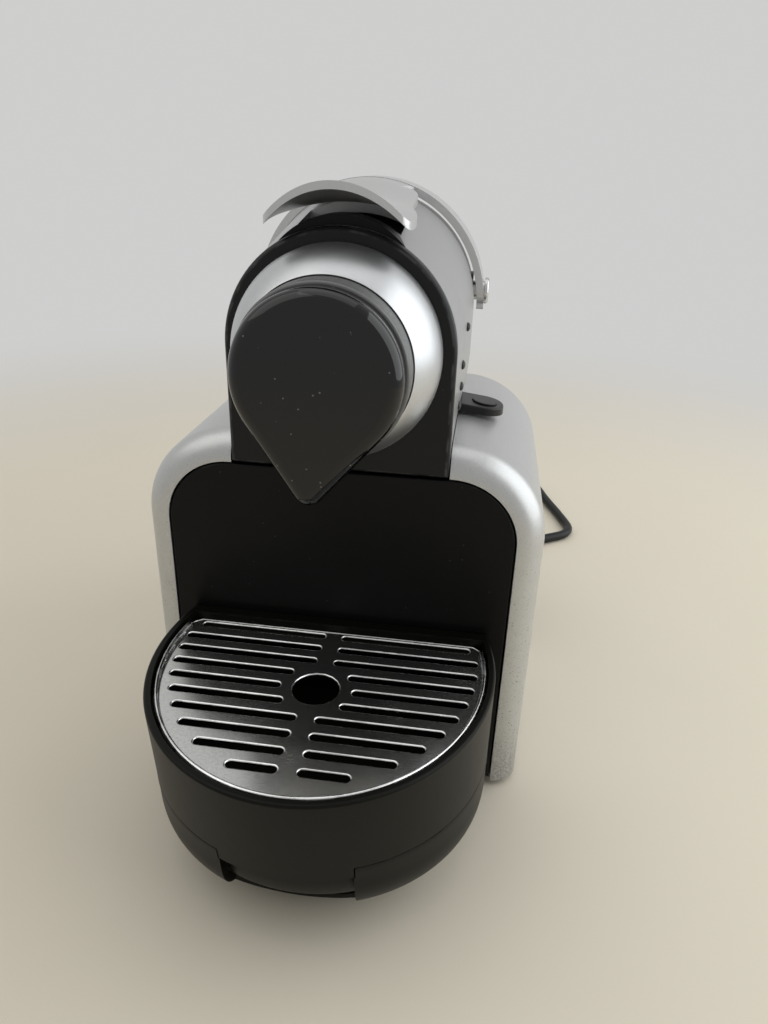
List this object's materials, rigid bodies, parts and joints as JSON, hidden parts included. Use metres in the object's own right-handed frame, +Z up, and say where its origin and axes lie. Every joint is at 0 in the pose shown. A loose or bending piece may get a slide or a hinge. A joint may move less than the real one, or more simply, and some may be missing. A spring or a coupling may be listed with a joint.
{
  "type": "pod coffee machine",
  "caption": "Pod coffee machine with a rounded housing, a lever-driven capsule chamber, a slotted drip tray, a lift-off water tank and a mains cord.",
  "frame": {"origin": "on the worktop, under the middle of the machine without its cord", "axes": "+Z up, +Y from the drip tray to the water tank, +X to the right seen from the front"},
  "size_m": [0.2152, 0.5037, 0.2527],
  "materials": {
    "silver_paint": "satin silver paint",
    "black_satin": "satin black plastic",
    "black_gloss": "gloss black plastic",
    "tray_black": "matte dark plastic",
    "bright_ring": "polished plating",
    "grey_drum": "satin grey plastic",
    "lever_silver": "worn satin silver",
    "steel": "polished steel",
    "inner_black": "moulded black plastic",
    "inner_white": "moulded pale plastic",
    "block_metal": "cast",
    "hose_clear": "silicone",
    "board_green": "printed board",
    "coil_wrap": "wound coil",
    "tank_clear": "clear plastic",
    "foot_rubber": "soft rubber",
    "cord_black": "cord sheath",
    "pin_metal": "plated pin"
  },
  "bodies": {
    "machine": {"base_plate": "inner_black", "rubber_feet": "foot_rubber", "housing": "silver_paint", "back_panel": "black_satin", "case_screws": "steel", "head_shell": "silver_paint", "capsule_inlet": "black_satin", "face_plate": "black_gloss", "outlet_ring": "bright_ring", "outlet_drum": "grey_drum", "outlet_cap": "black_gloss", "coffee_spout": "inner_black", "brew_head": "inner_black", "pierce_plate": "steel", "guide_rails": "steel", "rear_bulkhead": "inner_black", "switch_bracket": "inner_black", "micro_switch": "inner_white", "tank_coupling": "inner_white", "coupling_seal": "hose_clear", "heating_block": "block_metal", "heater_bracket": "steel", "thermostat": "inner_white", "pump_coil": "coil_wrap", "pump_body": "inner_white", "pump_mounts": "foot_rubber", "tank_hose": "hose_clear", "pressure_hose": "hose_clear", "brew_hose": "hose_clear", "control_board": "board_green", "strain_relief": "cord_black", "power_cord": "cord_black", "cord_coil": "cord_black", "cord_tie": "foot_rubber", "plug": "cord_black", "plug_pins": "pin_metal"},
    "lever": {"lever": "lever_silver", "lever_shaft": "steel", "pivot_screws": "steel"},
    "brew_carriage": {"capsule_cage": "inner_black", "link_pin": "steel"},
    "links": {"drive_links": "steel"},
    "switch": {"switch_paddle": "black_satin", "switch_pad": "black_gloss"},
    "container": {"front_panel": "black_satin", "capsule_bin": "inner_black"},
    "drip_base_body": {"drip_base": "tray_black"},
    "tray": {"drip_tray": "tray_black"},
    "grid": {"drip_grid": "steel"},
    "tank": {"water_tank": "tank_clear", "valve_cage": "inner_white"},
    "lid": {"tank_lid": "black_satin"},
    "valve": {"valve_poppet": "inner_white"}
  },
  "joints": [
    {"name": "lever_swing", "type": "hinge", "parent": "machine", "child": "lever", "pos_m": [0, 0.03925, 0.208], "axis": [-1, 0, 0], "range_deg": [0, 84]},
    {"name": "carriage_slide", "type": "slide", "parent": "machine", "child": "brew_carriage", "axis": [0, 1, 0], "range_m": [0, 0.02899]},
    {"name": "link_tilt", "type": "hinge", "parent": "brew_carriage", "child": "links", "pos_m": [0, -0.00125, 0.213], "axis": [1, 0, 0], "range_deg": [0, 21.87]},
    {"name": "switch_press", "type": "hinge", "parent": "machine", "child": "switch", "pos_m": [0.033, 0.01525, 0.1644], "axis": [0, 1, 0], "range_deg": [0, 2.6], "stiffness_Nm_per_rad": 0.6, "springref_deg": -0.57},
    {"name": "container_pull", "type": "slide", "parent": "machine", "child": "container", "axis": [0, -1, 0], "range_m": [0, 0.12]},
    {"name": "drip_base_pull", "type": "slide", "parent": "container", "child": "drip_base_body", "axis": [0, -1, 0], "range_m": [0, 0.1]},
    {"name": "tray_lift", "type": "slide", "parent": "drip_base_body", "child": "tray", "axis": [0, 0, 1], "range_m": [0, 0.06]},
    {"name": "grid_lift", "type": "slide", "parent": "tray", "child": "grid", "axis": [0, 0, 1], "range_m": [0, 0.06]},
    {"name": "tank_lift", "type": "slide", "parent": "machine", "child": "tank", "axis": [0, 0, 1], "range_m": [0, 0.038]},
    {"name": "lid_lift", "type": "slide", "parent": "tank", "child": "lid", "axis": [0, 0, 1], "range_m": [0, 0.022]},
    {"name": "valve_open", "type": "slide", "parent": "tank", "child": "valve", "axis": [0, 0, 1], "range_m": [0, 0.002], "stiffness_N_per_m": 200, "springref_m": -0.002}
  ],
  "couplings": [
    {"joint": "carriage_slide", "follows": "lever_swing", "m_per_rad": 0.019769},
    {"joint": "link_tilt", "follows": "lever_swing", "ratio": 0.26023}
  ]
}
